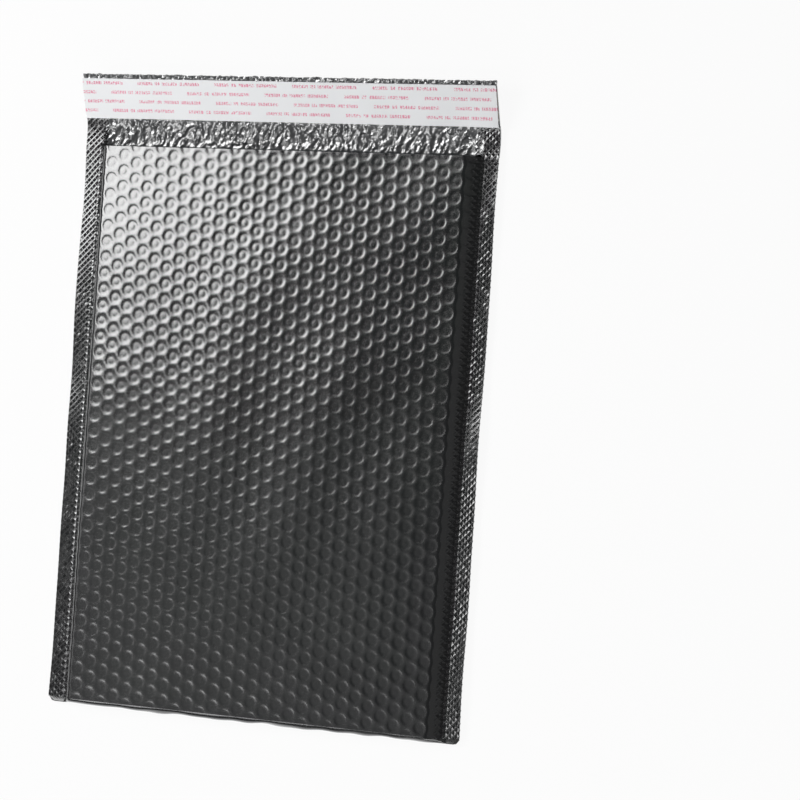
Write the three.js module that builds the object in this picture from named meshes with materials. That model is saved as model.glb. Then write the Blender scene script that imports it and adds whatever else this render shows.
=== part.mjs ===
// Padded mailer of black bubble film: one web folded at the bottom, welded down both sides and
// left open at the top, with a curling flap that carries a peel-and-seal strip under its liner.
// It lies on its back, opening side up. Millimetres, +Z up, +Y towards the flap.

import * as THREE from 'three';
import { mergeVertices } from 'three/addons/utils/BufferGeometryUtils.js';

// Bubble film
const BUBBLE_PITCH = 10; // centre to centre in a column; neighbouring columns are half a pitch apart
const DIMPLE_DEPTH = 0.6; // how far the outer film is drawn into each bubble
const PADDED_FILM = 2.7; // outer film and bubbles together
const FLAT_FILM = 1; // the same film where its bubbles are pressed flat, in the seals and the flap

// Pouch
const POUCH_WIDTH = 280; // over the side seals
const POUCH_LENGTH = 343; // fold to mouth
const POCKET_GAP = 4.6; // free height between the two linings
const SEAL_WIDTH = 10;
const SEAL_HEIGHT = 2.5; // underside of the side seals above the surface that the mailer lies on
const SHOULDER = 15; // distance from a seal over which the pouch swells to its full thickness
const FOLD_DEPTH = 3; // how far the rounded fold stands out past the last bubbles
const WELD_WEB = 1; // film that the weld has closed between a seal and the pocket

// Flap
const FLAP_LENGTH = 46; // along the film, mouth to free edge
const BEND_LENGTH = 16; // stretch past the mouth where the flap curls up
const BEND_ANGLE = THREE.MathUtils.degToRad( 20 );
const CRUSH_LENGTH = 5; // stretch past the mouth where the bubbles are pressed flat
const CREASE_HEIGHT = 0.35; // how far the crushed lining stands up or down in its creases
const CREASE_SPACING = 6.5;

// Peel-and-seal strip
const LINER_WIDTH = 25;
const LINER_THICKNESS = 0.3;
const LINER_SETBACK = 2.5; // from the flap's free edge
const ADHESIVE_WIDTH = 18;
const ADHESIVE_THICKNESS = 0.3;
const SEAT_GAP = 0.1; // clearance between the flap, the adhesive and the liner

// Derived sizes
const THICKNESS = 2 * PADDED_FILM + POCKET_GAP;
const SEAL_TOP = SEAL_HEIGHT + FLAT_FILM;
const SEAL_EDGE = POUCH_WIDTH / 2;
const FIELD_EDGE = SEAL_EDGE - SEAL_WIDTH;
const FIELD_LENGTH = POUCH_LENGTH - FOLD_DEPTH;
const COLUMNS = Math.round( 2 * FIELD_EDGE / ( BUBBLE_PITCH * Math.sqrt( 0.75 ) ) );
const ROWS = Math.round( FIELD_LENGTH / BUBBLE_PITCH );
const COLUMN_PITCH = 2 * FIELD_EDGE / COLUMNS;
const LEVELS = 2 * ROWS; // half pitches from the mouth to the fold
const BEND_RADIUS = BEND_LENGTH / BEND_ANGLE;
const MOUTH_Y = ( POUCH_LENGTH - flapCurve( FLAP_LENGTH ).y ) / 2;
const FOLD_Y = MOUTH_Y - FIELD_LENGTH;
const LINER_START = FLAP_LENGTH - LINER_SETBACK - LINER_WIDTH;

// Counts for the curved stretches
const FOLD_STEPS = 4;
const BEND_STEPS = 4;
const SHOULDER_STEPS = 3;

// Section of the pouch

// Share of the full thickness reached at x, from 0 in a seal to 1 on the panel.
function swell( x ) {

	const inwards = THREE.MathUtils.clamp( ( FIELD_EDGE - Math.abs( x ) ) / SHOULDER, 0, 1 );
	return Math.sin( inwards * Math.PI / 2 );

}

function backHeight( x ) {

	return SEAL_HEIGHT * ( 1 - swell( x ) );

}

function frontHeight( x ) {

	return THREE.MathUtils.lerp( SEAL_TOP, THICKNESS, swell( x ) );

}

// Underside of the flap at a distance along the film from the mouth.
function flapCurve( distance ) {

	const slope = BEND_ANGLE * THREE.MathUtils.clamp( distance / BEND_LENGTH, 0, 1 );
	const straight = Math.max( distance - BEND_LENGTH, 0 );
	return {
		slope,
		y: BEND_RADIUS * Math.sin( slope ) + straight * Math.cos( slope ),
		z: BEND_RADIUS * ( 1 - Math.cos( slope ) ) + straight * Math.sin( slope )
	};

}

// A point of the flap, some height of film above its underside. The back panel's swell dies out
// over the bend, so that the flap is flat where the strip lies on it.
function flapPoint( x, distance, film ) {

	const curve = flapCurve( distance );
	const lift = backHeight( x ) * Math.max( 1 - distance / BEND_LENGTH, 0 );
	return new THREE.Vector3(
		x,
		MOUTH_Y + curve.y - film * Math.sin( curve.slope ),
		lift + curve.z + film * Math.cos( curve.slope )
	);

}

// Collects faces, then welds them into one closed body.
class Skin {

	constructor() {

		this.corners = [];

	}

	face( a, b, c ) {

		this.corners.push( a, b, c );

	}

	// Ruled strip between two lines that run the same way. Seen with the first line below the
	// second and both running to the right, it faces the viewer. The lines may meet at their ends.
	strip( lower, upper ) {

		const alongLower = shares( lower );
		const alongUpper = shares( upper );
		let i = 0;
		let j = 0;
		while ( i + 1 < lower.length || j + 1 < upper.length ) {

			const stepLower = j + 1 === upper.length || alongLower[ i + 1 ] <= alongUpper[ j + 1 ];
			const next = stepLower ? lower[ i + 1 ] : upper[ j + 1 ];
			if ( ! lower[ i ].equals( upper[ j ] ) && ! next.equals( stepLower ? upper[ j ] : lower[ i ] ) ) {

				this.face( lower[ i ], next, upper[ j ] );

			}

			if ( stepLower ) i ++;
			else j ++;

		}

	}

	geometry() {

		const loose = new THREE.BufferGeometry().setFromPoints( this.corners );
		const welded = mergeVertices( loose, 1e-3 );
		welded.computeVertexNormals();
		return welded;

	}

}

// How far along a line each of its points lies, from 0 to 1.
function shares( line ) {

	const lengths = [ 0 ];
	for ( let i = 1; i < line.length; i ++ ) {

		lengths.push( lengths[ i - 1 ] + line[ i ].distanceTo( line[ i - 1 ] ) );

	}

	return lengths.map( ( length ) => length / lengths.at( - 1 ) );

}

function range( count ) {

	return Array.from( { length: count }, ( _, i ) => i );

}

// Evenly spaced values from one number to another, both ends included.
function spread( from, to, steps ) {

	return range( steps + 1 ).map( ( i ) => THREE.MathUtils.lerp( from, to, i / steps ) );

}

// Places across the pouch: the seals' outer edges, the shoulders and the panel between them.
function acrossPouch() {

	const shoulder = spread( FIELD_EDGE, FIELD_EDGE - SHOULDER, SHOULDER_STEPS );
	const right = [ SEAL_EDGE, ...shoulder ].reverse();
	return [ ...right.map( ( x ) => - x ).reverse(), ...right ];

}

// Bubble panels

// Bubbles lie in columns, and each column is half a pitch out of step with its neighbours. Levels
// count half pitches down from the mouth: even columns have their bubbles at odd levels.
function hasBubble( column, level ) {

	return ( column + level ) % 2 === 1;

}

function levelY( level ) {

	return MOUTH_Y - FIELD_LENGTH * level / LEVELS;

}

function columnX( column ) {

	return ( column + 0.5 ) * COLUMN_PITCH - FIELD_EDGE;

}

// Line between two columns, some share of a column pitch left of the second one's centre.
function borderX( column, share ) {

	if ( column === 0 ) return - FIELD_EDGE;
	if ( column === COLUMNS ) return FIELD_EDGE;
	return columnX( column ) - share * COLUMN_PITCH;

}

// Left-hand corners of the hexagonal cells of a column, mouth to fold.
function frontBorder( column ) {

	return range( LEVELS + 1 ).map( ( level ) => {

		const x = borderX( column, hasBubble( column, level ) ? 2 / 3 : 1 / 3 );
		return new THREE.Vector3( x, levelY( level ), frontHeight( x ) );

	} );

}

function frontDimple( column, level ) {

	const x = columnX( column );
	return new THREE.Vector3( x, levelY( level ), frontHeight( x ) - DIMPLE_DEPTH );

}

// Front panel: each bubble is a six-sided cell whose film falls to a dimple at its centre. The
// mouth and the fold cut every second column through a bubble.
function addFront( skin ) {

	for ( const column of range( COLUMNS ) ) {

		const left = frontBorder( column );
		const right = frontBorder( column + 1 );
		for ( const level of range( LEVELS + 1 ).filter( ( i ) => hasBubble( column, i ) ) ) {

			const rim = [
				left[ level - 1 ], left[ level ], left[ level + 1 ],
				right[ level + 1 ], right[ level ], right[ level - 1 ]
			];
			const dimple = frontDimple( column, level );
			for ( const i of range( rim.length ) ) {

				const next = rim[ ( i + 1 ) % rim.length ];
				if ( rim[ i ] && next ) skin.face( dimple, rim[ i ], next );

			}

		}

	}

}

// The front panel's mouth or fold line, left to right.
function frontLine( level ) {

	const points = range( COLUMNS ).flatMap( ( column ) => {

		const corner = frontBorder( column )[ level ];
		return hasBubble( column, level ) ? [ corner, frontDimple( column, level ) ] : [ corner ];

	} );
	return [ ...points, frontBorder( COLUMNS )[ level ] ];

}

// Corners that the back panel lies on, right of a column's bubbles, from the mouth to the fold.
function backBorder( column ) {

	const x = borderX( column + 1, 1 / 3 );
	return range( LEVELS + 1 ).map( ( level ) => {

		const used = hasBubble( column + 2, level ) || level === 0 || level === LEVELS;
		return used ? new THREE.Vector3( x, levelY( level ), backHeight( x ) ) : undefined;

	} );

}

// Back panel: three-sided dimples with flat film between them, on which the mailer rests.
function addBack( skin ) {

	for ( const column of range( COLUMNS ) ) {

		const left = backBorder( column - 1 );
		const right = backBorder( column );
		const x = columnX( column );
		for ( const level of range( LEVELS + 1 ).filter( ( i ) => hasBubble( column, i ) ) ) {

			if ( level === 0 || level === LEVELS ) continue;
			const dimple = new THREE.Vector3( x, levelY( level ), backHeight( x ) + DIMPLE_DEPTH );
			skin.face( dimple, left[ level + 1 ], left[ level - 1 ] );
			skin.face( dimple, right[ level ], left[ level + 1 ] );
			skin.face( dimple, left[ level - 1 ], right[ level ] );

		}

		for ( const level of range( LEVELS ).filter( ( i ) => hasBubble( column + 1, i ) ) ) {

			if ( level === 0 ) continue;
			skin.face( left[ level ], right[ level - 1 ], right[ level + 1 ] );

		}

		for ( const end of [ 0, LEVELS ] ) {

			const inner = end === 0 ? 1 : LEVELS - 1;
			const third = hasBubble( column, end ) ? left[ inner ] : right[ inner ];
			if ( end === 0 ) skin.face( left[ end ], right[ end ], third );
			else skin.face( right[ end ], left[ end ], third );

		}

	}

}

function backLine( level ) {

	return range( COLUMNS + 1 ).map( ( column ) => backBorder( column - 1 )[ level ] );

}

// Seals, fold, pocket and flap

function sealCorner( side, y, z ) {

	return new THREE.Vector3( side * SEAL_EDGE, y, z );

}

// Adds the seals' outer edges to a line that runs from the left seal to the right one.
function withSeals( line, y, z ) {

	return [ sealCorner( - 1, y, z ), ...line, sealCorner( 1, y, z ) ];

}

// A seal's outer edge at one height, mouth to fold.
function sealLine( side, z ) {

	return spread( MOUTH_Y, FOLD_Y, ROWS ).map( ( y ) => sealCorner( side, y, z ) );

}

// Side seals: both layers of film welded into one flat band.
function addSeals( skin ) {

	const faces = [
		[ frontBorder( 0 ), frontBorder( COLUMNS ), SEAL_TOP ],
		[ backBorder( COLUMNS - 1 ), backBorder( - 1 ), SEAL_HEIGHT ]
	];
	const [ top, underside ] = faces;
	skin.strip( sealLine( - 1, SEAL_TOP ), top[ 0 ] );
	skin.strip( top[ 1 ], sealLine( 1, SEAL_TOP ) );
	skin.strip( sealLine( 1, SEAL_HEIGHT ), underside[ 0 ].filter( Boolean ) );
	skin.strip( underside[ 1 ].filter( Boolean ), sealLine( - 1, SEAL_HEIGHT ) );

}

// Rounded bottom fold, as lines from the front round to the back.
function foldLines() {

	const round = spread( Math.PI / 2, - Math.PI / 2, FOLD_STEPS ).slice( 1, - 1 ).map( ( angle ) => (
		acrossPouch().map( ( x ) => {

			const middle = ( frontHeight( x ) + backHeight( x ) ) / 2;
			const z = middle + ( frontHeight( x ) - middle ) * Math.sin( angle );
			return new THREE.Vector3( x, FOLD_Y - FOLD_DEPTH * Math.cos( angle ), z );

		} )
	) );
	return [
		withSeals( frontLine( LEVELS ), FOLD_Y, SEAL_TOP ),
		...round,
		withSeals( backLine( LEVELS ), FOLD_Y, SEAL_HEIGHT )
	];

}

// Line across the pocket at one place along it, from weld to weld.
function pocketLine( y, panelHeight ) {

	const weldX = FIELD_EDGE - WELD_WEB;
	const weldZ = ( SEAL_TOP + SEAL_HEIGHT ) / 2;
	const panelX = FIELD_EDGE - SHOULDER;
	return [
		new THREE.Vector3( - weldX, y, weldZ ),
		new THREE.Vector3( - panelX, y, panelHeight ),
		new THREE.Vector3( panelX, y, panelHeight ),
		new THREE.Vector3( weldX, y, weldZ )
	];

}

// The pocket between the linings, open at the mouth and closing to a line inside the fold.
function addPocket( skin ) {

	const end = FOLD_Y - FOLD_DEPTH + PADDED_FILM;
	const full = end + POCKET_GAP;
	const ceiling = THICKNESS - PADDED_FILM;
	const endLine = pocketLine( end, THICKNESS / 2 );
	skin.strip( pocketLine( MOUTH_Y, ceiling ), pocketLine( full, ceiling ) );
	skin.strip( pocketLine( full, ceiling ), endLine );
	skin.strip( endLine, pocketLine( full, PADDED_FILM ) );
	skin.strip( pocketLine( full, PADDED_FILM ), pocketLine( MOUTH_Y, PADDED_FILM ) );

}

// Cut edge of the front panel at the mouth.
function addMouthEdge( skin ) {

	const upper = frontLine( 0 );
	const lower = [ upper[ 0 ], ...pocketLine( MOUTH_Y, THICKNESS - PADDED_FILM ), upper.at( - 1 ) ];
	skin.strip( upper, lower );

}

// Repeatable scatter from -1 to 1 for the creases.
function scatter( i, j ) {

	const value = Math.sin( i * 12.9898 + j * 78.233 ) * 43758.5453;
	return 2 * ( value - Math.floor( value ) ) - 1;

}

// Flap's inner face, from the pocket's floor over the crushed and creased lining to the free edge.
function flapInnerLines() {

	const floor = pocketLine( MOUTH_Y, PADDED_FILM );
	const mouth = [ frontLine( 0 )[ 0 ], ...floor, frontLine( 0 ).at( - 1 ) ];
	const creaseRows = Math.round( 2 * ( LINER_START - CRUSH_LENGTH ) / CREASE_SPACING );
	const creaseColumns = Math.round( 2 * FIELD_EDGE / CREASE_SPACING );
	const across = spread( - FIELD_EDGE, FIELD_EDGE, creaseColumns );
	const creased = spread( CRUSH_LENGTH, LINER_START, creaseRows ).map( ( distance, row ) => {

		const height = row < creaseRows ? CREASE_HEIGHT : 0;
		const line = across.map( ( x, i ) => flapPoint( x, distance, FLAT_FILM + height * scatter( i, row ) ) );
		return [ flapPoint( - SEAL_EDGE, distance, FLAT_FILM ), ...line, flapPoint( SEAL_EDGE, distance, FLAT_FILM ) ];

	} );
	const plain = [ ...bendDistances( LINER_START, FLAP_LENGTH ), FLAP_LENGTH ];
	return [ withSeals( mouth, MOUTH_Y, SEAL_TOP ), ...creased, ...flapLines( plain, FLAT_FILM ) ];

}

// Flap's underside, from the back panel to the free edge.
function flapUndersideLines() {

	const bent = [ ...bendDistances( 0, FLAP_LENGTH ), FLAP_LENGTH ];
	return [ withSeals( backLine( 0 ), MOUTH_Y, SEAL_HEIGHT ), ...flapLines( bent, 0 ) ];

}

// Where the bend's facets meet between two distances from the mouth.
function bendDistances( start, end ) {

	return spread( 0, BEND_LENGTH, BEND_STEPS ).filter( ( distance ) => distance > start && distance < end );

}

// Lines across the flap at some distances from the mouth.
function flapLines( distances, film ) {

	return distances.map( ( distance ) => acrossPouch().map( ( x ) => flapPoint( x, distance, film ) ) );

}

// The web's cut edge down one side, from the flap's free edge to the nose of the fold.
function sideLine( side, flapLines, fold, z ) {

	const at = ( line ) => line.at( side < 0 ? 0 : - 1 );
	const flap = flapLines.map( at ).reverse();
	return [ ...flap, ...sealLine( side, z ).slice( 1 ), ...fold.map( at ) ];

}

function paddedPouch() {

	const skin = new Skin();
	addFront( skin );
	addBack( skin );
	addSeals( skin );
	addPocket( skin );
	addMouthEdge( skin );

	const fold = foldLines();
	for ( const i of range( fold.length - 1 ) ) skin.strip( fold[ i + 1 ], fold[ i ] );

	const inner = flapInnerLines();
	for ( const i of range( inner.length - 1 ) ) skin.strip( inner[ i ], inner[ i + 1 ] );

	const underside = flapUndersideLines();
	for ( const i of range( underside.length - 1 ) ) skin.strip( underside[ i + 1 ], underside[ i ] );
	skin.strip( inner.at( - 1 ), underside.at( - 1 ) );

	const nose = FOLD_STEPS / 2;
	for ( const side of [ - 1, 1 ] ) {

		const top = sideLine( side, inner, fold.slice( 1, nose + 1 ), SEAL_TOP );
		const bottom = sideLine( side, underside, fold.slice( nose, - 1 ).reverse(), SEAL_HEIGHT );
		if ( side < 0 ) skin.strip( bottom, top );
		else skin.strip( top, bottom );

	}

	return skin.geometry();

}

// A strip on the flap's inner face, some height above the film and from one distance past the
// mouth. It bends with the film wherever it reaches into the bend.
function flapStrip( start, width, height, thickness, material, name ) {

	const distances = [ start, ...bendDistances( start, start + width ), start + width ];
	const lines = ( film ) => distances.map( ( distance ) => (
		[ - SEAL_EDGE, SEAL_EDGE ].map( ( x ) => flapPoint( x, distance, film ) )
	) );
	const bottom = lines( FLAT_FILM + height );
	const top = lines( FLAT_FILM + height + thickness );

	const skin = new Skin();
	for ( const i of range( distances.length - 1 ) ) {

		skin.strip( top[ i ], top[ i + 1 ] );
		skin.strip( bottom[ i + 1 ], bottom[ i ] );

	}

	skin.strip( bottom[ 0 ], top[ 0 ] );
	skin.strip( top.at( - 1 ), bottom.at( - 1 ) );
	skin.strip( top.map( ( line ) => line[ 0 ] ), bottom.map( ( line ) => line[ 0 ] ) );
	skin.strip( bottom.map( ( line ) => line[ 1 ] ), top.map( ( line ) => line[ 1 ] ) );

	const strip = new THREE.Mesh( skin.geometry(), material );
	strip.name = name;
	return strip;

}

// Assembly

const film = new THREE.MeshStandardMaterial( { color: 0x1b1b1c, roughness: 0.4, metalness: 0 } );
const adhesive = new THREE.MeshStandardMaterial( { color: 0xd8d4c4, roughness: 0.3, metalness: 0 } );
const linerPaper = new THREE.MeshStandardMaterial( { color: 0xeeeef0, roughness: 0.5, metalness: 0 } );

const pouch = new THREE.Mesh( paddedPouch(), film );
pouch.name = 'padded_pouch';

const adhesiveInset = ( LINER_WIDTH - ADHESIVE_WIDTH ) / 2;
const strip = flapStrip(
	LINER_START + adhesiveInset, ADHESIVE_WIDTH, SEAT_GAP, ADHESIVE_THICKNESS, adhesive, 'adhesive_strip'
);
const linerHeight = SEAT_GAP + ADHESIVE_THICKNESS + SEAT_GAP;
const liner = flapStrip(
	LINER_START, LINER_WIDTH, linerHeight, LINER_THICKNESS, linerPaper, 'release_liner'
);

const group = new THREE.Group();
group.add( pouch, strip, liner );

export default group;
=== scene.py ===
"""Dresses the padded mailer: dimpled film panels, knurled side seals, a crushed lining on the
curling flap and the printed release liner, on a plain pale floor in soft studio light."""

import logging
import math
from collections.abc import Callable, Sequence
from dataclasses import dataclass
from enum import Enum

import bpy
import numpy as np
from mathutils import Matrix, Vector, noise


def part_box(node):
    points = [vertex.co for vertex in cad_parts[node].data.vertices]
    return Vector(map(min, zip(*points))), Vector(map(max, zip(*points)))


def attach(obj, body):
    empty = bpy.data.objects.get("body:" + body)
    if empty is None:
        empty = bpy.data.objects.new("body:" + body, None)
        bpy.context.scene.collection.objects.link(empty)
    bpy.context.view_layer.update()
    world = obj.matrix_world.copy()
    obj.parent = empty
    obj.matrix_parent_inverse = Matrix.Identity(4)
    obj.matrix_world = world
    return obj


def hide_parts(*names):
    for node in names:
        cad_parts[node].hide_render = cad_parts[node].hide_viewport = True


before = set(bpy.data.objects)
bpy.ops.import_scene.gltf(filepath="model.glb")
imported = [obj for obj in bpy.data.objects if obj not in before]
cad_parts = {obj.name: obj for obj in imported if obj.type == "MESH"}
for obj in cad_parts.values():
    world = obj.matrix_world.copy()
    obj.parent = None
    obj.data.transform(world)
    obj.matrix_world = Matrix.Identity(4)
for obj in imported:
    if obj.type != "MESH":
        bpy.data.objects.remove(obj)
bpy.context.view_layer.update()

log = logging.getLogger("mailer")

ROOT = "root"
POUCH_NODE = "padded_pouch"
LINER_NODE = "release_liner"
ADHESIVE_NODE = "adhesive_strip"
SEED = 7
WELD = 0.00002
WAVE_COUNT = 6
SHORTEST_WAVE = 0.55
NOISE_RANGE = (0.3, 0.7)


class Side(Enum):
    """The two faces of the folded web."""

    FRONT = 1
    BACK = -1


class Edge(Enum):
    """The two welded edges."""

    LEFT = -1
    RIGHT = 1


@dataclass(frozen=True)
class Web:
    """Sizes of the folded web in metres, in the frame that the solids stand in."""

    width: float = 0.280
    length: float = 0.343
    seal_width: float = 0.010
    seal_height: float = 0.0025
    flat_film: float = 0.001
    padded_film: float = 0.0027
    pocket_gap: float = 0.0046
    shoulder: float = 0.015
    right_swell: float = 0.0096
    left_swell: float = 0.0058
    left_ledge: float = 0.0024
    fold_depth: float = 0.003
    weld_web: float = 0.001
    flap_length: float = 0.046
    bend_length: float = 0.016
    bend_angle: float = math.radians(20)
    liner_start: float = 0.0185
    liner_width: float = 0.025
    liner_height: float = 0.0008
    bubble_pitch: float = 0.0097
    columns: int = 30
    spare: int = 3

    @property
    def thickness(self) -> float:
        """Full thickness of the pouch."""
        return 2 * self.padded_film + self.pocket_gap

    @property
    def edge_x(self) -> float:
        """Outer edge of a side seal."""
        return self.width / 2

    @property
    def field_x(self) -> float:
        """Inner edge of a side seal, where the bubbles start."""
        return self.edge_x - self.seal_width

    @property
    def column_pitch(self) -> float:
        """Distance between neighbouring bubble columns."""
        return 2 * self.field_x / self.columns

    @property
    def mouth_y(self) -> float:
        """Place of the front panel's cut edge along the mailer."""
        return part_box(POUCH_NODE)[0][1] + self.length

    @property
    def fold_y(self) -> float:
        """Place where the rounded fold starts."""
        return self.mouth_y - self.length + self.fold_depth

    @property
    def rows(self) -> int:
        """Number of bubbles in a column between the fold and the mouth."""
        return round((self.mouth_y - self.fold_y) / self.bubble_pitch)

    @property
    def seal_top(self) -> float:
        """Height of the welded seals' upper face."""
        return self.seal_height + self.flat_film

    def from_seal(self, x: np.ndarray) -> np.ndarray:
        """Gives the distances to where a shoulder starts, a little way in on the left."""
        return self.field_x - np.abs(x) - np.where(x < 0, self.left_ledge, 0.0)

    def swell(self, x: np.ndarray) -> np.ndarray:
        """Gives the share of the full thickness reached across the mailer.

        Args:
            x: Places across the mailer.

        Returns:
            Values from 0 in a seal to 1 on the panel.
        """
        run = np.where(x < 0, self.left_swell, self.right_swell)
        inwards = np.clip(self.from_seal(x) / run, 0, 1)
        return np.sin(inwards * math.pi / 2)

    def outer_height(self, x: np.ndarray, side: Side) -> np.ndarray:
        """Gives the height of a panel's outer film between its bubbles.

        Args:
            x: Places across the mailer.
            side: The front or the back panel.

        Returns:
            Heights above the floor.
        """
        if side is Side.FRONT:
            return self.seal_top + (self.thickness - self.seal_top) * self.swell(x)
        return self.seal_height * (1 - self.swell(x))

    def lining_height(self, x: np.ndarray, side: Side) -> np.ndarray:
        """Gives the height of the pocket's ceiling or floor.

        Args:
            x: Places across the mailer.
            side: The ceiling is the front panel's, the floor the back panel's.

        Returns:
            Heights above the floor.
        """
        weld = (self.seal_height + self.seal_top) / 2
        panel = self.padded_film if side is Side.BACK else self.thickness - self.padded_film
        run = self.shoulder - self.weld_web
        share = np.clip((self.field_x - self.weld_web - np.abs(x)) / run, 0, 1)
        return weld + (panel - weld) * share

    def flap(self, x: np.ndarray, distance: np.ndarray, film: np.ndarray) -> np.ndarray:
        """Gives points of the curling flap.

        Args:
            x: Places across the mailer.
            distance: Distances along the film from the mouth.
            film: Heights above the flap's underside.

        Returns:
            An array of points, one row each.
        """
        radius = self.bend_length / self.bend_angle
        slope = self.bend_angle * np.clip(distance / self.bend_length, 0, 1)
        straight = np.maximum(distance - self.bend_length, 0)
        reach = radius * np.sin(slope) + straight * np.cos(slope)
        rise = radius * (1 - np.cos(slope)) + straight * np.sin(slope)
        lift = self.outer_height(x, Side.BACK) * np.clip(1 - distance / self.bend_length, 0, 1)
        y = self.mouth_y + reach - film * np.sin(slope)
        z = lift + rise + film * np.cos(slope)
        return np.stack(np.broadcast_arrays(x, y, z), axis=-1)


def start_clean() -> None:
    """Leaves edit mode and deselects everything."""
    if bpy.context.object and bpy.context.object.mode != "OBJECT":
        bpy.ops.object.mode_set(mode="OBJECT")
    bpy.ops.object.select_all(action="DESELECT")


def pick(piece: bpy.types.Object) -> None:
    """Makes one object the only selected one.

    Args:
        piece: The object to select.
    """
    start_clean()
    piece.select_set(True)
    bpy.context.view_layer.objects.active = piece


def edit(piece: bpy.types.Object) -> None:
    """Opens one object in edit mode with everything selected.

    Args:
        piece: The object to edit.
    """
    pick(piece)
    bpy.ops.object.mode_set(mode="EDIT")
    bpy.ops.mesh.select_all(action="SELECT")


def flip(piece: bpy.types.Object) -> None:
    """Turns all faces of a piece over.

    Args:
        piece: The object whose faces point the wrong way.
    """
    edit(piece)
    bpy.ops.mesh.flip_normals()
    bpy.ops.object.mode_set(mode="OBJECT")


def fill_rim() -> None:
    """Fills the rim that is selected in edit mode and turns every face outwards."""
    bpy.ops.mesh.edge_face_add()
    bpy.ops.mesh.quads_convert_to_tris()
    bpy.ops.mesh.select_all(action="SELECT")
    bpy.ops.mesh.normals_make_consistent(inside=False)
    bpy.ops.object.mode_set(mode="OBJECT")


def fresh(name: str) -> bpy.types.Object:
    """Names the primitive that was just added.

    Args:
        name: The piece's name.

    Returns:
        The new object.
    """
    piece = bpy.context.object
    piece.name = name
    piece.data.name = name
    return piece


def points_of(piece: bpy.types.Object) -> np.ndarray:
    """Reads a mesh's vertices.

    Args:
        piece: The object to read.

    Returns:
        An array with one row for each vertex.
    """
    flat = np.empty(len(piece.data.vertices) * 3)
    piece.data.vertices.foreach_get("co", flat)
    return flat.reshape(-1, 3)


def set_points(piece: bpy.types.Object, points: np.ndarray) -> None:
    """Moves a mesh's vertices to new places, one row each."""
    piece.data.vertices.foreach_set("co", points.ravel())
    piece.data.update()


def apply_modifier(piece: bpy.types.Object, kind: str, **settings: object) -> None:
    """Adds a modifier with its settings and applies it.

    Args:
        piece: The object to change.
        kind: The modifier's type.
        settings: The modifier's own values.
    """
    pick(piece)
    modifier = piece.modifiers.new(kind.title(), kind)
    for key, value in settings.items():
        setattr(modifier, key, value)
    bpy.ops.object.modifier_apply(modifier=modifier.name)


def repeat(piece: bpy.types.Object, count: int, offset: Sequence[float]) -> None:
    """Copies a piece's mesh in a row.

    Args:
        piece: The object to repeat.
        count: How many there are in the end.
        offset: Step from one to the next.
    """
    apply_modifier(
        piece,
        "ARRAY",
        count=count,
        use_relative_offset=False,
        use_constant_offset=True,
        constant_offset_displace=offset,
    )


def join_shifted(piece: bpy.types.Object, shift: Sequence[float]) -> None:
    """Joins a moved copy to a piece.

    Args:
        piece: The object to copy.
        shift: How far the copy moves.
    """
    pick(piece)
    bpy.ops.object.duplicate(linked=False)
    copy = bpy.context.object
    set_points(copy, points_of(copy) + np.array(shift))
    piece.select_set(True)
    bpy.context.view_layer.objects.active = piece
    bpy.ops.object.join()


def trim(piece: bpy.types.Object, low: Sequence[float], high: Sequence[float]) -> None:
    """Merges a sheet's doubles and cuts it off along a rectangle.

    Args:
        piece: The flat sheet.
        low: Lowest x and y that stay.
        high: Highest x and y that stay.
    """
    cuts = (
        ((high[0], 0, 0), (1, 0, 0)),
        ((low[0], 0, 0), (-1, 0, 0)),
        ((0, high[1], 0), (0, 1, 0)),
        ((0, low[1], 0), (0, -1, 0)),
    )
    edit(piece)
    bpy.ops.mesh.remove_doubles(threshold=WELD)
    for place, normal in cuts:
        bpy.ops.mesh.select_all(action="SELECT")
        bpy.ops.mesh.bisect(plane_co=place, plane_no=normal, clear_outer=True, threshold=WELD)
    bpy.ops.mesh.select_all(action="SELECT")
    bpy.ops.mesh.remove_doubles(threshold=WELD)
    bpy.ops.mesh.normals_make_consistent(inside=False)
    bpy.ops.object.mode_set(mode="OBJECT")
    if np.mean([face.normal.z for face in piece.data.polygons]) < 0:
        flip(piece)


def settle(piece: bpy.types.Object, material: bpy.types.Material, node: str) -> None:
    """Gives a piece its material, hangs it under the root and hides the solid that it stands for.

    Args:
        piece: The finished object.
        material: Its finish.
        node: The solid that it replaces.
    """
    pick(piece)
    bpy.ops.object.transform_apply(location=True, rotation=True, scale=True)
    piece.data.materials.clear()
    piece.data.materials.append(material)
    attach(piece, ROOT)
    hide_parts(node)
    start_clean()
    log.info("%s: %d faces", piece.name, len(piece.data.polygons))


def smooth_by_angle(piece: bpy.types.Object, degrees: float) -> None:
    """Shades a piece smooth except where it turns more than some degrees."""
    pick(piece)
    bpy.ops.object.shade_smooth_by_angle(angle=math.radians(degrees))


def waves(x: np.ndarray, y: np.ndarray, length: float, seed: int) -> np.ndarray:
    """Gives the slow unevenness of slack film, as a sum of crossing waves.

    Args:
        x: Places across the mailer.
        y: Places along it.
        length: Wavelength of the longest wave.
        seed: Number that picks the waves.

    Returns:
        Values mostly between -1 and 1.
    """
    draws = np.random.default_rng(seed)
    total = np.zeros(np.broadcast(x, y).shape)
    for _ in range(WAVE_COUNT):
        heading, phase = draws.uniform(0, 2 * math.pi, 2)
        scale = 2 * math.pi / (length * draws.uniform(SHORTEST_WAVE, 1.0))
        total += np.sin(scale * (x * math.cos(heading) + y * math.sin(heading)) + phase)
    return total / math.sqrt(WAVE_COUNT)


def smooth_step(low: float, high: float, value: np.ndarray) -> np.ndarray:
    """Rises smoothly from 0 to 1 between two limits.

    Args:
        low: Value where the rise starts.
        high: Value where it ends.
        value: Where to read it.

    Returns:
        Values from 0 to 1.
    """
    share = np.clip((value - low) / (high - low), 0, 1)
    return share * share * (3 - 2 * share)


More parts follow.
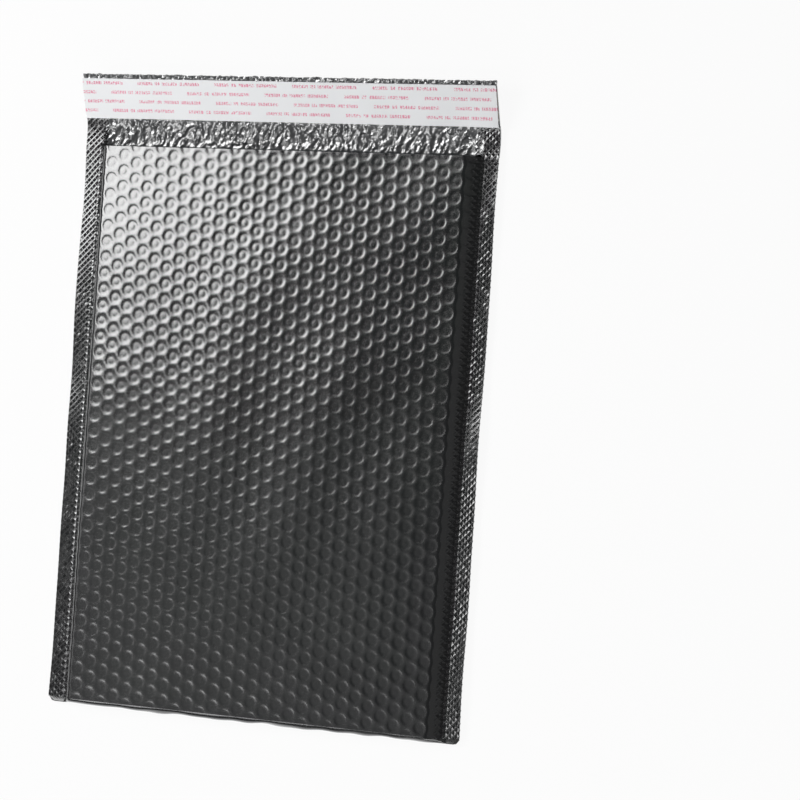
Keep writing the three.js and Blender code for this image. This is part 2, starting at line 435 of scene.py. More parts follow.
class Graph:
    """Short way to lay out a material's nodes."""

    def __init__(self, name: str) -> None:
        """Starts an empty node material.

        Args:
            name: The material's name.
        """
        self.material = bpy.data.materials.new(name)
        self.material.use_nodes = True
        self.tree = self.material.node_tree
        self.tree.nodes.clear()

    def node(self, kind: str, inputs: dict | None = None, **settings: object) -> bpy.types.Node:
        """Adds a node, sets its options and feeds its sockets.

        Args:
            kind: Node type without the ShaderNode prefix.
            inputs: Values, or output sockets to link, by socket name or number.
            settings: Node options.

        Returns:
            The new node.
        """
        made = self.tree.nodes.new("ShaderNode" + kind)
        for key, value in settings.items():
            setattr(made, key, value)
        for key, value in (inputs or {}).items():
            if isinstance(value, bpy.types.NodeSocket):
                self.tree.links.new(value, made.inputs[key])
            else:
                made.inputs[key].default_value = value
        return made

    def math(self, operation: str, first: object, second: object = 0.0) -> bpy.types.NodeSocket:
        """Adds a math node and returns its output socket."""
        return self.node("Math", {0: first, 1: second}, operation=operation).outputs[0]

    def object_place(self) -> bpy.types.NodeSocket:
        """Gives the Object coordinates."""
        return self.node("TexCoord").outputs["Object"]

    def noise(
        self, scale: float, detail: float, stretch: Sequence[float] = (1, 1, 1)
    ) -> bpy.types.NodeSocket:
        """Adds a noise texture on Object coordinates.

        Args:
            scale: Features per metre.
            detail: Octaves.
            stretch: Factors for the three coordinates.

        Returns:
            Its value socket.
        """
        mapping = self.node("Mapping", {"Vector": self.object_place(), "Scale": stretch})
        inputs = {"Vector": mapping.outputs[0], "Scale": scale, "Detail": detail}
        return self.node("TexNoise", inputs).outputs["Fac"]

    def spread(self, value: bpy.types.NodeSocket, low: float, high: float) -> bpy.types.NodeSocket:
        """Maps a noise value from its usual range onto two numbers.

        Args:
            value: Socket with values around 0.5.
            low: Result at the lower end of a noise's usual range.
            high: Result at its upper end.

        Returns:
            The mapped value's socket.
        """
        start, end = NOISE_RANGE
        inputs = {"Value": value, "From Min": start, "From Max": end, "To Min": low, "To Max": high}
        return self.node("MapRange", inputs).outputs["Result"]

    def blend(self, share: bpy.types.NodeSocket, first: object, second: object) -> bpy.types.NodeSocket:
        """Mixes two colours.

        Args:
            share: Socket with the second colour's share.
            first: First colour or socket.
            second: Second colour or socket.

        Returns:
            The mixed colour's socket.
        """
        mix = self.node("Mix", {0: share}, data_type="RGBA")
        for number, value in ((6, first), (7, second)):
            if isinstance(value, bpy.types.NodeSocket):
                self.tree.links.new(value, mix.inputs[number])
            else:
                mix.inputs[number].default_value = (*value, 1.0)
        return mix.outputs[2]

    def bump(self, height: bpy.types.NodeSocket, depth: float) -> bpy.types.NodeSocket:
        """Turns a height from 0 to 1 into a shading normal for a relief of a depth in metres."""
        return self.node("Bump", {"Height": height, "Distance": depth}).outputs["Normal"]

    def finish(self, inputs: dict) -> bpy.types.Material:
        """Ends the material in a surface shader.

        Args:
            inputs: The shader's values and linked sockets.

        Returns:
            The finished material.
        """
        shader = self.node("BsdfPrincipled", inputs)
        self.node("OutputMaterial", {"Surface": shader.outputs[0]})
        return self.material


@dataclass(frozen=True)
class FilmFinish:
    """Black film: satin outside, smoother where it is welded, shinier where it is crushed."""

    name: str
    shade: tuple[float, float, float] = (0.0075, 0.0082, 0.0088)
    roughness: tuple[float, float] = (0.18, 0.23)
    coat: float = 1.0
    coat_roughness: float = 0.18
    coat_ior: float = 1.5
    ior: float = 1.52
    grain_depth: float = 0.00003
    grain_scale: float = 900.0
    grain_detail: float = 3.0
    scuff_scale: float = 45.0
    scuff_detail: float = 5.0
    worn_share: float = 1.6

    def material(self) -> bpy.types.Material:
        """Builds the film's material.

        Returns:
            The material.
        """
        graph = Graph(self.name)
        scuff = graph.noise(self.scuff_scale, self.scuff_detail)
        grain = graph.noise(self.grain_scale, self.grain_detail)
        worn = tuple(self.worn_share * value for value in self.shade)
        return graph.finish({
            "Base Color": graph.blend(scuff, self.shade, worn),
            "Roughness": graph.spread(scuff, *self.roughness),
            "IOR": self.ior,
            "Coat Weight": self.coat,
            "Coat Roughness": self.coat_roughness,
            "Coat IOR": self.coat_ior,
            "Normal": graph.bump(grain, self.grain_depth),
        })


@dataclass(frozen=True)
class LinerFinish:
    """White release liner with four rows of small pink marks."""

    name: str = "printed_liner"
    paper: tuple[float, float, float] = (0.95, 0.955, 0.965)
    cool: tuple[float, float, float] = (0.89, 0.90, 0.92)
    ink: tuple[float, float, float] = (0.80, 0.31, 0.42)
    rows: int = 4
    row_pitch: float = 0.0057
    first_row: float = 0.00275
    mark_height: float = 0.0019
    group_pitch: float = 0.0535
    first_group: float = 0.0146
    stagger: float = 0.0194
    letter_pitch: float = 0.0017
    letter_share: float = 0.8
    speckles: tuple[float, float, float] = (2050.0, 1760.0, 1.0)
    speckle_gaps: float = 0.3
    word_edges: tuple[float, ...] = (0.0, 0.192, 0.224, 0.288, 0.320, 0.512, 0.544, 0.80)
    sheen_scale: float = 28.0
    sheen_detail: float = 3.0
    sheen_depth: float = 0.0002
    roughness: tuple[float, float] = (0.34, 0.46)
    ior: float = 1.45

    def material(self) -> bpy.types.Material:
        """Builds the liner's material on its own map, in metres along and across it.

        Returns:
            The material.
        """
        graph = Graph(self.name)
        mapped = graph.node("UVMap", uv_map="UVMap").outputs["UV"]
        sheen = graph.noise(self.sheen_scale, self.sheen_detail)
        paper = graph.blend(sheen, self.cool, self.paper)
        return graph.finish({
            "Base Color": graph.blend(self.marks(graph, mapped), paper, self.ink),
            "Roughness": graph.spread(sheen, *self.roughness),
            "IOR": self.ior,
            "Normal": graph.bump(sheen, self.sheen_depth),
        })

    def marks(self, graph: Graph, mapped: bpy.types.NodeSocket) -> bpy.types.NodeSocket:
        """Lays out the marks as short bars in rows, broken up like letters.

        Args:
            graph: The material's nodes.
            mapped: Coordinates along and across the liner.

        Returns:
            A socket that is 1 on a mark and 0 beside it.
        """
        place = graph.node("SeparateXYZ", {0: mapped})
        along, across = place.outputs["X"], place.outputs["Y"]
        row = graph.math("DIVIDE", graph.math("SUBTRACT", across, self.first_row), self.row_pitch)
        number = graph.math("ROUND", row)
        off_row = graph.math("ABSOLUTE", graph.math("SUBTRACT", row, number))
        tests = [
            graph.math("LESS_THAN", off_row, self.mark_height / self.row_pitch / 2),
            graph.math("GREATER_THAN", number, -0.5),
            graph.math("LESS_THAN", number, self.rows - 0.5),
        ]
        stagger = graph.math("MULTIPLY", graph.math("MODULO", number, 2.0), self.stagger)
        shifted = graph.math("ADD", graph.math("ADD", along, stagger), self.first_group)
        group = graph.math("FRACT", graph.math("DIVIDE", shifted, self.group_pitch))
        words = graph.node("ValToRGB", {"Fac": group})
        self.set_words(words.color_ramp)
        tests.append(words.outputs["Color"])
        letter = graph.math("FRACT", graph.math("DIVIDE", shifted, self.letter_pitch))
        tests.append(graph.math("LESS_THAN", letter, self.letter_share))
        cells = graph.node("VectorMath", {0: mapped, 1: self.speckles}, operation="MULTIPLY")
        whole = graph.node("VectorMath", {0: cells.outputs[0]}, operation="FLOOR")
        speckle = graph.node("TexWhiteNoise", {"Vector": whole.outputs[0]}, noise_dimensions="2D")
        tests.append(graph.math("GREATER_THAN", speckle.outputs["Value"], self.speckle_gaps))
        mask = tests[0]
        for test in tests[1:]:
            mask = graph.math("MULTIPLY", mask, test)
        return mask

    def set_words(self, ramp: bpy.types.ColorRamp) -> None:
        """Sets which shares of a group's length hold marks.

        Args:
            ramp: The colour ramp along a group.
        """
        ramp.interpolation = "CONSTANT"
        while len(ramp.elements) < len(self.word_edges):
            ramp.elements.new(1.0)
        for number, edge in enumerate(self.word_edges):
            value = float(number % 2 == 0)
            ramp.elements[number].position = edge
            ramp.elements[number].color = (value, value, value, 1.0)


@dataclass(frozen=True)
class AdhesiveFinish:
    """Pale pressure-sensitive adhesive under the liner."""

    name: str = "adhesive"
    shade: tuple[float, float, float] = (0.66, 0.62, 0.52)
    dark_share: float = 0.8
    roughness: tuple[float, float] = (0.12, 0.3)
    ior: float = 1.48
    streak_scale: float = 120.0
    streak_detail: float = 4.0
    streak_stretch: tuple[float, float, float] = (1, 6, 6)
    streak_depth: float = 0.00005

    def material(self) -> bpy.types.Material:
        """Builds the adhesive's material.

        Returns:
            The material.
        """
        graph = Graph(self.name)
        streaks = graph.noise(self.streak_scale, self.streak_detail, self.streak_stretch)
        dark = tuple(self.dark_share * value for value in self.shade)
        return graph.finish({
            "Base Color": graph.blend(streaks, self.shade, dark),
            "Roughness": graph.spread(streaks, *self.roughness),
            "IOR": self.ior,
            "Normal": graph.bump(streaks, self.streak_depth),
        })


@dataclass
class BubblePanel:
    """One padded panel: outer film drawn into each bubble, closed below by the lining."""

    web: Web
    side: Side
    name: str
    segments: int = 12
    rings: tuple[float, ...] = (0.0043, 0.0037, 0.0031, 0.0017)
    corner_reach: float = 1.2
    radius: float = 0.0043
    depth: float = 0.00014
    low_depth: float = 0.000125
    depth_scatter: float = 0.05
    depth_drift: float = 0.04
    drift_length: float = 0.07
    flattest_y: float = -0.19
    fullest_y: float = 0.12
    wall_start: float = 0.72
    dome: float = 1.2
    dome_end: float = 0.7
    dome_middle: float = 0.65
    dome_scatter: float = 0.12
    dome_drift: float = 0.2
    least_dome: float = 0.1
    low_dome: float = 0.06
    crown: float = 0.00002
    crown_end: float = 1.3
    left_start: float = 0.0028
    left_fade: float = 0.0025
    right_fade: float = 0.004
    right_fade_gain: float = 0.0025
    fold_fade: float = 0.0025
    slack: float = 0.00016
    slack_length: float = 0.11
    slack_fade: float = 0.03
    back_slack: float = 0.3
    inset: float = 0.0005
    crease_angle: float = 50.0

    def build(self, material: bpy.types.Material) -> bpy.types.Object:
        """Models the panel and dresses it.

        Args:
            material: The outer film's finish.

        Returns:
            The finished panel.
        """
        web = self.web
        panel = self.cell()
        join_shifted(panel, (web.column_pitch, web.bubble_pitch / 2, 0))
        repeat(panel, web.rows + 2, (0, web.bubble_pitch, 0))
        repeat(panel, web.columns // 2 + 2, (2 * web.column_pitch, 0, 0))
        start = (-web.field_x - 1.5 * web.column_pitch, web.fold_y - web.bubble_pitch / 2, 0)
        set_points(panel, points_of(panel) + np.array(start))
        trim(panel, (-web.field_x, web.fold_y), (web.field_x, web.mouth_y))
        self.shape(panel)
        self.close(panel)
        smooth_by_angle(panel, self.crease_angle)
        settle(panel, material, POUCH_NODE)
        return panel

    def cell(self) -> bpy.types.Object:
        """Models one bubble's cell: round rings inside a six-sided edge.

        Returns:
            The cell, flat and centred on the origin.
        """
        start_clean()
        bpy.ops.mesh.primitive_circle_add(
            vertices=self.segments, radius=self.rings[-1], fill_type="TRIFAN"
        )
        cell = fresh(self.name)
        steps = (*self.rings[::-1], self.corner_reach * self.rings[0])
        edit(cell)
        bpy.ops.mesh.region_to_loop()
        for inner, outer in zip(steps, steps[1:]):
            bpy.ops.mesh.extrude_edges_move()
            scale = (outer / inner, outer / inner, 1)
            bpy.ops.transform.resize(value=scale, center_override=(0, 0, 0))
        bpy.ops.object.mode_set(mode="OBJECT")
        points = points_of(cell)
        outside = np.hypot(points[:, 0], points[:, 1]) > (1 + self.corner_reach) / 2 * self.rings[0]
        angle = np.arctan2(points[outside, 1], points[outside, 0])
        corner = np.round(angle * self.segments / (2 * math.pi)).astype(int) % 2 == 0
        across = np.where(corner, 2 / 3, math.sqrt(1 / 3)) * self.web.column_pitch
        along = np.where(corner, math.sqrt(1 / 3), 1 / 2) * self.web.bubble_pitch
        points[outside, 0] = across * np.cos(angle)
        points[outside, 1] = along * np.sin(angle)
        set_points(cell, points)
        return cell

    def nearest(self, x: np.ndarray, y: np.ndarray) -> tuple[np.ndarray, ...]:
        """Finds each point's nearest bubble.

        Args:
            x: Places across the mailer.
            y: Places along it.

        Returns:
            Column numbers, row numbers and distances from the bubble's centre.
        """
        web = self.web
        best = np.full(x.shape, np.inf)
        column = np.zeros(x.shape, dtype=int)
        row = np.zeros(x.shape, dtype=int)
        middle = np.floor((x + web.field_x) / web.column_pitch)
        for tried in (middle - 1, middle, middle + 1):
            shift = web.fold_y + np.where(np.mod(tried, 2) == 0, 0.5, 0.0) * web.bubble_pitch
            level = np.round((y - shift) / web.bubble_pitch)
            centre_x = (tried + 0.5) * web.column_pitch - web.field_x
            away = np.hypot(x - centre_x, y - shift - level * web.bubble_pitch)
            closer = away < best
            best = np.where(closer, away, best)
            column = np.where(closer, tried, column).astype(int)
            row = np.where(closer, level, row).astype(int)
        return column, row, best

    def relief(self, x: np.ndarray, y: np.ndarray) -> np.ndarray:
        """Gives how deep the film is drawn in by the bubbles.

        Args:
            x: Places across the mailer.
            y: Places along it.

        Returns:
            Depths, positive into the pouch.
        """
        web = self.web
        column, row, away = self.nearest(x, y)
        draws = np.random.default_rng(SEED + self.side.value)
        sizes = (2, web.columns + 2 * web.spare, web.rows + 2 * web.spare)
        table = draws.normal(0.0, 1.0, sizes)
        depth_draw, dome_draw = table[:, column + web.spare, row + web.spare]
        drift = waves(x, y, self.drift_length, SEED + 3 * self.side.value)
        upper = smooth_step(self.flattest_y, self.fullest_y, y)
        depth = self.low_depth + (self.depth - self.low_depth) * upper
        depth *= 1 + self.depth_scatter * depth_draw + self.depth_drift * drift
        dome = self.dome_middle + self.dome_scatter * dome_draw + self.dome_drift * drift
        dome = self.dome * np.clip(dome, self.least_dome, 1)
        dome *= self.low_dome + (1 - self.low_dome) * upper**2
        share = away / self.radius
        bowl = 1 - smooth_step(self.wall_start, 1.0, share)
        rise = dome * (1 - smooth_step(0.0, self.dome_end, share))
        crown = self.crown * smooth_step(1.0, self.crown_end, share)
        left = (web.from_seal(x) - self.left_start) / self.left_fade
        right = web.from_seal(x) / (self.right_fade + self.right_fade_gain * upper)
        from_seal = smooth_step(0.0, 1.0, np.where(x < 0, left, right))
        from_fold = smooth_step(0.0, self.fold_fade, y - web.fold_y)
        return (depth * (bowl - rise) - crown) * from_seal * from_fold

    def shape(self, panel: bpy.types.Object) -> None:
        """Gives the flat sheet its swell, its slackness and its dimples.

        Args:
            panel: The flat sheet of cells.
        """
        web = self.web
        points = points_of(panel)
        x, y = points[:, 0], points[:, 1]
        slack = self.slack * waves(x, y, self.slack_length, SEED + self.side.value)
        slack *= web.swell(x) * smooth_step(0.0, self.slack_fade, y - web.fold_y)
        depth = self.relief(x, y) + slack * (1.0 if self.side is Side.FRONT else self.back_slack)
        if self.side is Side.BACK:
            depth = np.maximum(depth, 0.0)
        points[:, 2] = web.outer_height(x, self.side) - self.side.value * depth
        set_points(panel, points)

    def close(self, panel: bpy.types.Object) -> None:
        """Turns the sheet's edge inwards and closes it with the lining.

        Args:
            panel: The shaped sheet.
        """
        web = self.web
        weld_x = web.field_x - web.weld_web
        panel_x = web.field_x - web.shoulder
        low_y, high_y = web.fold_y + self.inset, web.mouth_y - self.inset

        def wall(points: np.ndarray) -> np.ndarray:
            """Drops the edge to the lining's height."""
            x = np.clip(points[:, 0], -weld_x, weld_x)
            return np.stack([x, points[:, 1], web.lining_height(x, self.side)], axis=1)

        def lining(points: np.ndarray) -> np.ndarray:
            """Draws the edge in to the flat part of the lining.

            Args:
                points: The edge's points.

            Returns:
                The new points.
            """
            x = np.clip(points[:, 0], -panel_x, panel_x)
            y = np.clip(points[:, 1], low_y, high_y)
            return np.stack([x, y, web.lining_height(x, self.side)], axis=1)

        edit(panel)
        bpy.ops.mesh.region_to_loop()
        for place in (wall, lining):
            bpy.ops.mesh.extrude_edges_move()
            move_selected(panel, place)
        bpy.ops.mesh.remove_doubles(threshold=WELD / 2)
        fill_rim()


def move_selected(piece: bpy.types.Object, place: Callable[[np.ndarray], np.ndarray]) -> None:
    """Moves the selected vertices of a piece in edit mode.

    Args:
        piece: The object that is being edited.
        place: Gives the new places from the old ones.
    """
    bpy.ops.object.mode_set(mode="OBJECT")
    chosen = np.array([vertex.select for vertex in piece.data.vertices])
    points = points_of(piece)
    points[chosen] = place(points[chosen])
    set_points(piece, points)
    bpy.ops.object.mode_set(mode="EDIT")


@dataclass
class SideSeal:
    """One welded edge: two films pressed into a band of small pits, up to the liner."""

    web: Web
    edge: Edge
    name: str
    width: float = 0.013
    pitch: float = 0.0038
    long_share: float = 0.92
    short_share: float = 0.70
    ridge_share: float = 0.125
    pit_depth: float = 0.00032
    depth_scatter: float = 0.22
    depth_limits: tuple[float, float] = (0.3, 1.7)
    curl: float = 0.0
    film: float = 0.0008
    proud: float = 0.00035
    proud_shares: tuple[float, ...] = (0.0, 0.07, 0.2, 0.4)
    proud_end: float = 0.001
    flap_lift_share: float = 1 / 3
    flap_fade: float = 0.002
    wander: float = 0.0005
    wander_length: float = 0.09
    bow: float = 0.0003
    bow_length: float = 0.12

    def build(self, material: bpy.types.Material) -> bpy.types.Object:
        """Models the seal and dresses it.

        Args:
            material: The welded film's finish.

        Returns:
            The finished seal.
        """
        web = self.web
        length = web.mouth_y - web.fold_y + web.liner_start
        seal = self.pit()
        join_shifted(seal, (self.pitch / 2, self.pitch / 2, 0))
        repeat(seal, math.ceil(self.width / self.pitch) + 1, (self.pitch, 0, 0))
        repeat(seal, math.ceil(length / self.pitch) + 1, (0, self.pitch, 0))
        trim(seal, (0, 0), (self.width, length))
        self.shape(seal)
        apply_modifier(seal, "SOLIDIFY", thickness=self.film, offset=-1, use_even_offset=False)
        settle(seal, material, POUCH_NODE)
        return seal

    def pit(self) -> bpy.types.Object:
        """Models one slanting pit with its share of the ridges around it.

        Returns:
            The pit, centred on the origin.
        """
        start_clean()
        bpy.ops.mesh.primitive_circle_add(vertices=4, radius=self.pitch / 2, fill_type="NGON")
        pit = fresh(self.name)
        edit(pit)
        bpy.ops.mesh.inset(thickness=self.pitch * self.ridge_share)
        move_selected(pit, self.slanted)
        bpy.ops.mesh.poke()
        bpy.ops.object.mode_set(mode="OBJECT")
        points = points_of(pit)
        points[np.hypot(points[:, 0], points[:, 1]) < WELD, 2] = -self.pit_depth
        set_points(pit, points)
        return pit

    def slanted(self, points: np.ndarray) -> np.ndarray:
        """Stretches a pit's rim along one diagonal and narrows it along the other.

        Args:
            points: The rim's points.

        Returns:
            The new points.
        """
        slant = self.edge.value
        size = self.pitch / 2 / np.abs(points[:, :2]).max()
        along = (points[:, 0] + slant * points[:, 1]) * self.long_share * size / 2
        across = (points[:, 0] - slant * points[:, 1]) * self.short_share * size / 2
        return np.stack([along + across, slant * (along - across), points[:, 2]], axis=1)

    def shape(self, seal: bpy.types.Object) -> None:
        """Lays the band along the pouch's edge, a little way up its shoulder, and up the flap.

        Args:
            seal: The flat band of pits.
        """
        web = self.web
        points = points_of(seal)
        outwards, along, pit = points.T
        distance = along - (web.mouth_y - web.fold_y)
        share = outwards / self.width
        draws = np.random.default_rng(SEED + self.edge.value)
        scatter = 1 + self.depth_scatter * draws.normal(0.0, 1.0, pit.shape)
        height = pit * np.clip(scatter, *self.depth_limits)
        height += self.wander * share * waves(outwards, along, self.wander_length, SEED + self.edge.value)
        height += self.curl * share**2
        rise, full, fall, end = self.proud_shares
        proud = self.proud * (1 - smooth_step(-self.proud_end, self.proud_end, distance))
        height += proud * (smooth_step(rise, full, share) - smooth_step(fall, end, share))
        height += self.flap_lift_share * self.proud * smooth_step(-self.flap_fade, self.flap_fade, distance)
        bow = self.bow * share * waves(0 * along, along, self.bow_length, SEED)
        x = (web.edge_x - self.width + outwards + bow) * self.edge.value
        placed = web.flap(x, np.maximum(distance, 0), web.flat_film + height)
        down = distance <= 0
        placed[down, 1] = web.mouth_y + distance[down]
        placed[down, 2] = (web.outer_height(x, Side.FRONT) + height)[down]
        set_points(seal, placed)
        if self.edge is Edge.LEFT:
            flip(seal)


@dataclass
class BottomFold:
    """The rounded fold that joins the front panel to the back one."""

    web: Web
    name: str = "bottom_fold"
    across: int = 140
    around: int = 12
    corner: float = 0.004
    sag: float = 0.12
    sag_length: float = 0.05
    ripple: float = 0.0003
    ripple_length: float = 0.03
    girth: float = 0.01
    crease_angle: float = 50.0

    def build(self, material: bpy.types.Material) -> bpy.types.Object:
        """Models the fold and dresses it.

        Args:
            material: The outer film's finish.

        Returns:
            The finished fold.
        """
        web = self.web
        start_clean()
        bpy.ops.mesh.primitive_grid_add(x_subdivisions=self.across, y_subdivisions=self.around, size=2)
        fold = fresh(self.name)
        points = points_of(fold)
        x = points[:, 0] * web.edge_x
        angle = points[:, 1] * math.pi / 2
        top, bottom = web.outer_height(x, Side.FRONT), web.outer_height(x, Side.BACK)
        end = np.clip((np.abs(x) - web.edge_x + self.corner) / self.corner, 0, 1)
        depth = web.fold_depth * np.sqrt(1 - end**2)
        depth *= 1 + self.sag * waves(x, 0 * x, self.sag_length, SEED) * web.swell(x)
        bulge = self.ripple * waves(x, angle * self.girth, self.ripple_length, SEED + 1)
        bulge *= np.cos(angle) * web.swell(x)
        points[:, 0] = x
        points[:, 1] = web.fold_y - np.maximum(depth * np.cos(angle) + bulge, 0)
        points[:, 2] = (top + bottom) / 2 + (top - bottom) / 2 * np.sin(angle)
        set_points(fold, points)
        edit(fold)
        bpy.ops.mesh.region_to_loop()
        fill_rim()
        smooth_by_angle(fold, self.crease_angle)
        settle(fold, material, POUCH_NODE)
        return fold


@dataclass
class Flap:
    """The curling end of the back web, with its crushed lining below the liner."""

    web: Web
    name: str = "flap"
    step: float = 0.0007
    film: float = 0.0009
    crush: float = 0.00085
    fine_crush: float = 0.00042
    coarse_ridge: tuple[float, float] = (0.0070, 0.0036)
    fine_ridge: tuple[float, float] = (0.0034, 0.0020)
    fine_shift: float = 0.3
    ridge_slant: tuple[float, float] = (0.6, 0.8)
    ridge_noise: tuple[float, ...] = (0.9, 2.1, 3, 0.85, 1.8)
    ridge_range: tuple[float, float] = (3, 97)
    crush_start: float = 0.0003
    crush_full: float = 0.003
    crush_end: float = 0.0012
    seal_gap: float = 0.002
    seal_fade: float = 0.001
    margin_crush: float = 0.0010
    margin_fade: float = 0.0006
    gap: float = 0.0007
    gap_width: float = 0.0009
    weld_step: float = 0.0005
    crease_angle: float = 28.0

    def build(self, material: bpy.types.Material) -> bpy.types.Object:
        """Models the flap and dresses it.

        Args:
            material: The crushed film's finish.

        Returns:
            The finished flap.
        """
        web = self.web
        start_clean()
        bpy.ops.mesh.primitive_grid_add(
            x_subdivisions=round(web.width / self.step),
            y_subdivisions=round(web.flap_length / self.step),
            size=1,
        )
        flap = fresh(self.name)
        points = points_of(flap)
        x = points[:, 0] * web.width
        distance = (points[:, 1] + 0.5) * web.flap_length
        set_points(flap, web.flap(x, distance, web.flat_film + self.creases(x, distance)))
        apply_modifier(flap, "SOLIDIFY", thickness=self.film, offset=-1, use_even_offset=False)
        points = points_of(flap)
        points[:, 2] = np.maximum(points[:, 2], 0)
        set_points(flap, points)
        smooth_by_angle(flap, self.crease_angle)
        settle(flap, material, POUCH_NODE)
        return flap

    def creases(self, x: np.ndarray, distance: np.ndarray) -> np.ndarray:
        """Gives the crushed film's relief.

        Args:
            x: Places across the flap.
            distance: Distances from the mouth.

        Returns:
            Heights above the flat film.
        """
        web = self.web
        liner_end = web.liner_start + web.liner_width
        bare = smooth_step(self.crush_start, self.crush_full, distance)
        bare *= 1 - smooth_step(web.liner_start - self.crush_end, web.liner_start, distance)
        bare *= smooth_step(0.0, self.seal_fade, web.field_x - self.seal_gap - np.abs(x))
        margin = smooth_step(liner_end, liner_end + self.margin_fade, distance)
        coarse = self.ridges(x, distance, *self.coarse_ridge)
        fine = self.ridges(x + self.fine_shift, distance, *self.fine_ridge)
        crushed = self.crush * coarse + self.fine_crush * fine
        seal = np.abs(x) > web.field_x
        pressed = np.where(seal & (distance < web.liner_start), self.weld_step, 0.0)
        gap = self.gap * np.exp(-((distance / self.gap_width) ** 2)) * ~seal
        return bare * crushed + margin * self.margin_crush * fine - pressed - gap

    def ridges(self, x: np.ndarray, distance: np.ndarray, long: float, short: float) -> np.ndarray:
        """Gives sharp slanting ridges.

        Args:
            x: Places across the flap.
            distance: Distances from the mouth.
            long: Length of a ridge.
            short: Spacing of the ridges.

        Returns:
            Values from about -1 to 1.
        """
        level, steep = self.ridge_slant
        along = (level * x + steep * distance) / long
        across = (steep * x - level * distance) / short
        values = np.array([
            noise.ridged_multi_fractal(Vector((u, v, 0.5)), *self.ridge_noise)
            for u, v in zip(along, across)
        ])
        low, high = np.percentile(values, self.ridge_range)
        return (values - np.median(values)) / (high - low)


@dataclass
class ReleaseLiner:
    """The printed liner that covers the adhesive, lying loosely along the flap."""

    web: Web
    name: str = "liner_sheet"
    across: int = 160
    along: int = 16
    paper: float = 0.00025
    ripple: float = 0.00018
    ripple_length: float = 0.04
    curl: float = 0.0007
    curl_start: float = 0.8
    crease_angle: float = 40.0

    def build(self, material: bpy.types.Material) -> bpy.types.Object:
        """Models the liner and dresses it.

        Args:
            material: The printed paper's finish.

        Returns:
            The finished liner.
        """
        web = self.web
        start_clean()
        bpy.ops.mesh.primitive_grid_add(x_subdivisions=self.across, y_subdivisions=self.along, size=1)
        liner = fresh(self.name)
        points = points_of(liner)
        x = points[:, 0] * web.width
        share = points[:, 1] + 0.5
        distance = web.liner_start + share * web.liner_width
        height = self.ripple * (1 + waves(x, distance, self.ripple_length, SEED + 5))
        height += self.curl * smooth_step(self.curl_start, 1.0, np.abs(x) / web.edge_x) * (1 - share)
        self.map_metres(liner, x, share)
        set_points(liner, web.flap(x, distance, web.flat_film + web.liner_height + height))
        apply_modifier(liner, "SOLIDIFY", thickness=self.paper, offset=-1)
        smooth_by_angle(liner, self.crease_angle)
        settle(liner, material, LINER_NODE)
        return liner

    def map_metres(self, liner: bpy.types.Object, x: np.ndarray, share: np.ndarray) -> None:
        """Maps the sheet in metres, along it from the left and across it from the top.

        Args:
            liner: The flat sheet.
            x: Place of each vertex along the liner.
            share: Share of the liner's width at each vertex, from its lower edge.
        """
        corners = np.empty(len(liner.data.loops), dtype=int)
        liner.data.loops.foreach_get("vertex_index", corners)
        along = x[corners] + self.web.edge_x
        across = (1 - share[corners]) * self.web.liner_width
        liner.data.uv_layers[0].data.foreach_set("uv", np.stack([along, across], axis=1).ravel())


@dataclass(frozen=True)
class Lamp:
    """A soft rectangular lamp."""

    name: str
    place: tuple[float, float, float]
    size: tuple[float, float]
    radiance: float
    aim: tuple[float, float, float] = (0.0, 0.0, 0.0)

    def build(self) -> None:
        """Adds the lamp, turned towards what it lights."""
        data = bpy.data.lights.new(self.name, "AREA")
        data.shape = "RECTANGLE"
        data.size, data.size_y = self.size
        data.energy = self.radiance * math.pi * self.size[0] * self.size[1]
        lamp = bpy.data.objects.new(self.name, data)
        bpy.context.scene.collection.objects.link(lamp)
        lamp.location = self.place
        backwards = Vector(self.place) - Vector(self.aim)
        lamp.rotation_euler = backwards.to_track_quat("Z", "Y").to_euler()


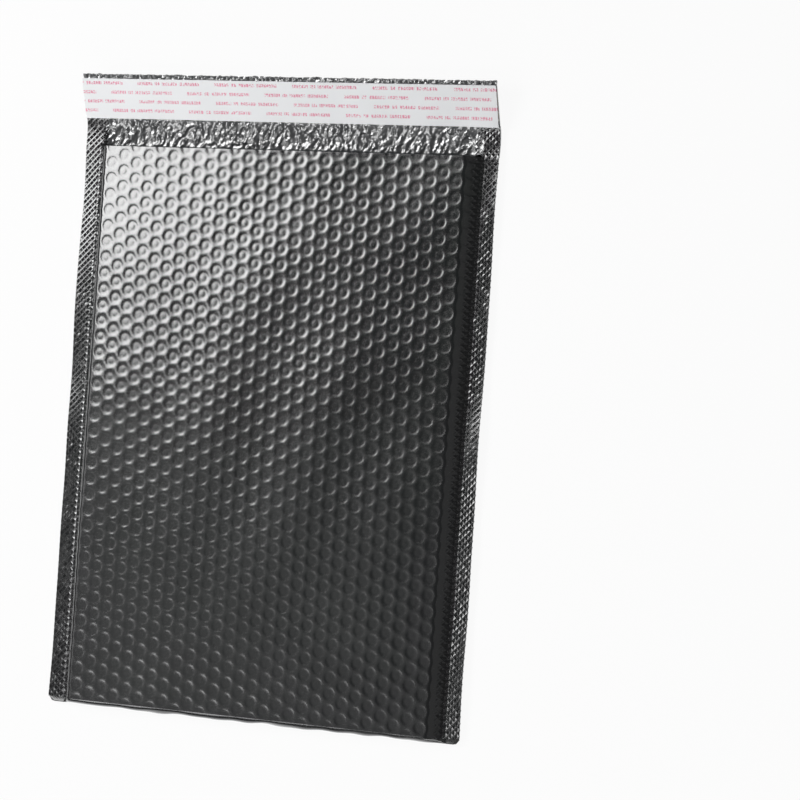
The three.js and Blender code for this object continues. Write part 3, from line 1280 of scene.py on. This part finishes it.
@dataclass
class Studio:
    """The camera, the pale floor and the soft light."""

    camera_place: tuple[float, float, float] = (0.9913, -0.0174, 1.8517)
    camera_aim: tuple[float, float, float] = (0.0900, 0.0049, 0.010)
    camera_roll: float = math.radians(3.88)
    lens: float = 157.2
    sensor: float = 36.0
    floor_colour: tuple[float, float, float] = (0.9, 0.9, 0.9)
    camera_reach: float = 100.0
    floor_radius: float = 14.0
    floor_corners: int = 64
    floor_glow: float = 0.93
    sky: float = 0.085
    lamps: tuple[Lamp, ...] = (
        Lamp("key", (-0.68, 0.30, 0.80), (0.42, 0.42), 9.8),
        Lamp("near_fill", (0.3, -1.3, 0.55), (1.6, 0.5), 2.9),
        Lamp("low_fill", (-0.58, -0.46, 1.05), (1.0, 0.7), 0.26),
        Lamp("left_fill", (-1.74, -1.29, 2.08), (1.1, 1.1), 4.6),
        Lamp("upper_fill", (-1.55, 1.26, 3.46), (1.1, 1.1), 1.2),
        Lamp("side_fill", (-3.02, 0.10, 2.62), (1.1, 1.1), 1.5),
        Lamp("right_fill", (1.10, -0.35, 1.35), (1.5, 1.5), 0.18),
    )

    def build(self) -> None:
        """Sets up the whole studio."""
        self.camera()
        self.floor()
        self.world()
        for lamp in self.lamps:
            lamp.build()
        bpy.context.scene.view_settings.view_transform = "Standard"

    def camera(self) -> None:
        """Adds the camera at the photograph's viewing angle."""
        data = bpy.data.cameras.new("camera")
        data.sensor_width = self.sensor
        data.lens = self.lens
        data.clip_end = self.camera_reach
        camera = bpy.data.objects.new("camera", data)
        bpy.context.scene.collection.objects.link(camera)
        backwards = (Vector(self.camera_place) - Vector(self.camera_aim)).normalized()
        right = Vector((0, 1, 0)).cross(backwards).normalized()
        basis = Matrix((right, backwards.cross(right), backwards)).transposed()
        basis = basis @ Matrix.Rotation(self.camera_roll, 3, "Z")
        camera.matrix_world = Matrix.Translation(self.camera_place) @ basis.to_4x4()
        bpy.context.scene.camera = camera

    def floor(self) -> None:
        """Adds the floor, which reads as white and keeps the mailer's shadow."""
        start_clean()
        bpy.ops.mesh.primitive_circle_add(
            vertices=self.floor_corners, radius=self.floor_radius, fill_type="NGON"
        )
        floor = fresh("floor")
        graph = Graph("pale_floor")
        ray = graph.node("LightPath").outputs
        seen = graph.math("MAXIMUM", ray["Is Camera Ray"], ray["Is Glossy Ray"])
        seen = graph.math("MAXIMUM", seen, ray["Is Transmission Ray"])
        share = graph.math("MULTIPLY", seen, self.floor_glow)
        matte = graph.node("BsdfDiffuse", {"Color": (*self.floor_colour, 1.0)})
        white = graph.node("Emission", {"Color": (1.0, 1.0, 1.0, 1.0), "Strength": 1.0})
        mixed = graph.node("MixShader", {0: share, 1: matte.outputs[0], 2: white.outputs[0]})
        graph.node("OutputMaterial", {"Surface": mixed.outputs[0]})
        floor.data.materials.append(graph.material)

    def world(self) -> None:
        """Sets the weak even light from all round."""
        world = bpy.data.worlds.new("studio")
        world.use_nodes = True
        background = world.node_tree.nodes["Background"]
        background.inputs["Color"].default_value = (1.0, 1.0, 1.0, 1.0)
        background.inputs["Strength"].default_value = self.sky
        bpy.context.scene.world = world


def main() -> None:
    """Builds the mailer and its studio."""
    logging.basicConfig(level=logging.INFO, format="%(message)s")
    web = Web()
    satin = FilmFinish("outer_film").material()
    pressed = FilmFinish("welded_film", grain_depth=0.00002).material()
    glossy = FilmFinish(
        "crushed_lining",
        shade=(0.055, 0.057, 0.06),
        roughness=(0.30, 0.40),
        coat_roughness=0.20,
        coat_ior=2.0,
    ).material()
    BubblePanel(web, Side.FRONT, "front_panel").build(satin)
    BubblePanel(web, Side.BACK, "back_panel").build(satin)
    SideSeal(web, Edge.LEFT, "left_seal", width=0.0146).build(pressed)
    SideSeal(web, Edge.RIGHT, "right_seal", width=0.0147, curl=0.0004).build(pressed)
    BottomFold(web).build(satin)
    Flap(web).build(glossy)
    ReleaseLiner(web).build(LinerFinish().material())
    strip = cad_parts[ADHESIVE_NODE]
    strip.data.materials.clear()
    strip.data.materials.append(AdhesiveFinish().material())
    log.info("%s: better material", strip.name)
    Studio().build()


if __name__ == "__main__":
    main()
